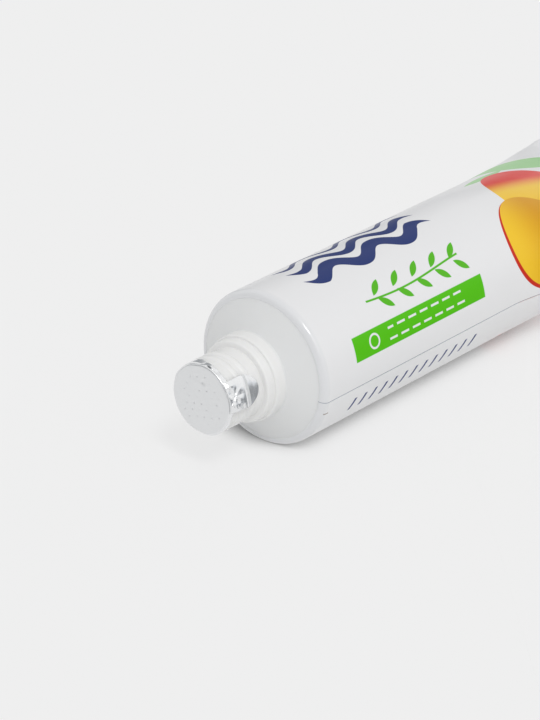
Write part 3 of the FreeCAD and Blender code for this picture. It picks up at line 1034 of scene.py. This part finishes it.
def floor():
    """Pale sweep, which keeps a soft shadow and a close dark one where the tube touches."""
    half = FLOOR_HALF
    plane = flat_object("floor", [(-half, -half, 0), (half, -half, 0), (half, half, 0),
                                  (-half, half, 0)])
    material, tree, shader = new_material("pale_floor")
    nodes, links = tree.nodes, tree.links
    shader.inputs["Base Color"].default_value = (FLOOR_COLOUR, FLOOR_COLOUR, FLOOR_COLOUR, 1.0)
    shader.inputs["Roughness"].default_value = 1.0
    shader.inputs["Specular IOR Level"].default_value = 0.0
    glow = nodes.new("ShaderNodeEmission")
    links.new(contact_shade(tree), glow.inputs["Strength"])
    mix = nodes.new("ShaderNodeMixShader")
    links.new(seen_directly(tree, FLOOR_GLOW), mix.inputs[0])
    links.new(shader.outputs[0], mix.inputs[1])
    links.new(glow.outputs[0], mix.inputs[2])
    links.new(mix.outputs[0], nodes["Material Output"].inputs["Surface"])
    plane.data.materials.append(material)
    return plane


def grey_card(name, corners, low, high=None):
    """Screen that only reflections see; its level may rise from the floor to its top."""
    card = flat_object(name, corners)
    material = bpy.data.materials.new(name)
    material.use_nodes = True
    tree = material.node_tree
    glow = tree.nodes.new("ShaderNodeEmission")
    glow.inputs["Strength"].default_value = low
    if low < COOL_BELOW:
        glow.inputs["Color"].default_value = COOL_GREY
    if high is not None:
        top = max(corner[2] for corner in corners)
        tree.links.new(add_ramp(tree, object_place(tree, 2), 0.0, top, low, high),
                       glow.inputs["Strength"])
    tree.links.new(glow.outputs[0], tree.nodes["Material Output"].inputs["Surface"])
    card.data.materials.append(material)
    card.visible_camera = False
    card.visible_diffuse = False
    card.visible_shadow = False
    card.visible_transmission = False
    return card


def round_rim(distance, degrees, height):
    """Point at a distance and direction from the rim, seen from above, and a height."""
    turn = math.radians(degrees)
    return (RIM_X * MM + distance * math.cos(turn), distance * math.sin(turn), height)


def screen(name, distance, ways, heights, *levels):
    """Upright screen between two directions and two heights."""
    (first, last), (foot, top) = ways, heights
    corners = [round_rim(distance, first, foot), round_rim(distance, last, foot),
               round_rim(distance, last, top), round_rim(distance, first, top)]
    return grey_card(name, corners, *levels)


def dull_table():
    """Two flat screens that make the table's near end dull where the tube mirrors it."""
    ends = [[round_rim(distance, first, TABLE_HEIGHT), round_rim(distance, last, TABLE_HEIGHT)]
            for distance, first, last in TABLE_ENDS]
    return [grey_card("dull_table_%d" % i, ends[i] + ends[i + 1][::-1], level)
            for i, level in enumerate(DULL_TABLE)]


def streak_light():
    """Narrow strip of light, square to the way from the tube."""
    centre = Vector((RIM_X * MM, 0, AXIS_Z * MM))
    foot, head = (centre + STREAK_AWAY * Vector(way).normalized() for way in STREAK_WAYS)
    beside = (head - foot).cross(foot - centre).normalized() * STREAK_HALF
    corners = [tuple(foot - beside), tuple(head - beside), tuple(head + beside),
               tuple(foot + beside)]
    return grey_card("streak_light", corners, STREAK_LIGHT)


def grey_cards():
    """All screens: behind the camera, beside it, across from it, on the table and the strip."""
    cards = [screen("low_screen_%d" % i, SCREENS_AWAY, ways, LOW_HEIGHTS, *LOW_SCREEN)
             for i, ways in enumerate(LOW_WAYS)]
    cards += [screen("dark_room_%d" % i, DARK_AWAY, ways, DARK_HEIGHTS, DARK_ROOM)
              for i, ways in enumerate(DARK_WAYS)]
    cards += [screen("bright_screen", SCREENS_AWAY, BRIGHT_WAYS, BRIGHT_HEIGHTS, BRIGHT_SCREEN)]
    cards += dull_table()
    cards += [screen("far_wall", SCREENS_AWAY, FAR_WAYS, FAR_HEIGHTS, FAR_WALL), streak_light()]
    return cards


def world_light():
    """Even soft room, and the pale background where it is seen directly."""
    world = bpy.data.worlds.new("studio")
    bpy.context.scene.world = world
    world.use_nodes = True
    tree = world.node_tree
    light = tree.nodes["Background"]
    light.inputs["Color"].default_value = ROOM_COLOUR
    light.inputs["Strength"].default_value = ROOM
    seen = tree.nodes.new("ShaderNodeBackground")
    seen.inputs["Color"].default_value = (BACKDROP, BACKDROP, BACKDROP, 1.0)
    choose = tree.nodes.new("ShaderNodeMixShader")
    tree.links.new(seen_directly(tree, 1.0), choose.inputs[0])
    tree.links.new(light.outputs[0], choose.inputs[1])
    tree.links.new(seen.outputs[0], choose.inputs[2])
    tree.links.new(choose.outputs[0], tree.nodes["World Output"].inputs["Surface"])


def key_light():
    """Far soft lamp above the camera, a little to its right."""
    data = bpy.data.lights.new("soft_key", "SUN")
    data.energy = KEY_STRENGTH
    data.angle = math.radians(KEY_SPREAD)
    lamp = bpy.data.objects.new("soft_key", data)
    lamp.rotation_euler = Vector(KEY_WAY).to_track_quat("-Z", "Y").to_euler()
    bpy.context.scene.collection.objects.link(lamp)


def camera():
    """Camera, placed from the middle of the rim."""
    data = bpy.data.cameras.new("camera")
    data.lens = LENS
    data.sensor_width = SENSOR
    data.clip_start = 0.01
    eye = bpy.data.objects.new("camera", data)
    bpy.context.scene.collection.objects.link(eye)
    look = Vector(LOOK).normalized()
    right = look.cross(Vector((0, 0, 1))).normalized()
    turned = Matrix((right, right.cross(look), -look)).transposed()
    eye.matrix_world = turned.to_4x4()
    eye.location = in_frame(*CAMERA_FROM_RIM)
    bpy.context.scene.camera = eye


# Assembly

DRESSES = (
    (sleeve_piece, sleeve_material, "filled_sleeve", "white_laminate"),
    (head_piece, head_material, "shoulder_and_neck", "white_moulding"),
    (foil_piece, foil_material, "foil_seal", "foil"),
)

for build, finish, node, slot in DRESSES:
    piece = build()
    piece.data.materials.append(finish())
    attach(piece, "root")
    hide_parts(node)

floor()
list(grey_cards())
world_light()
key_light()
camera()
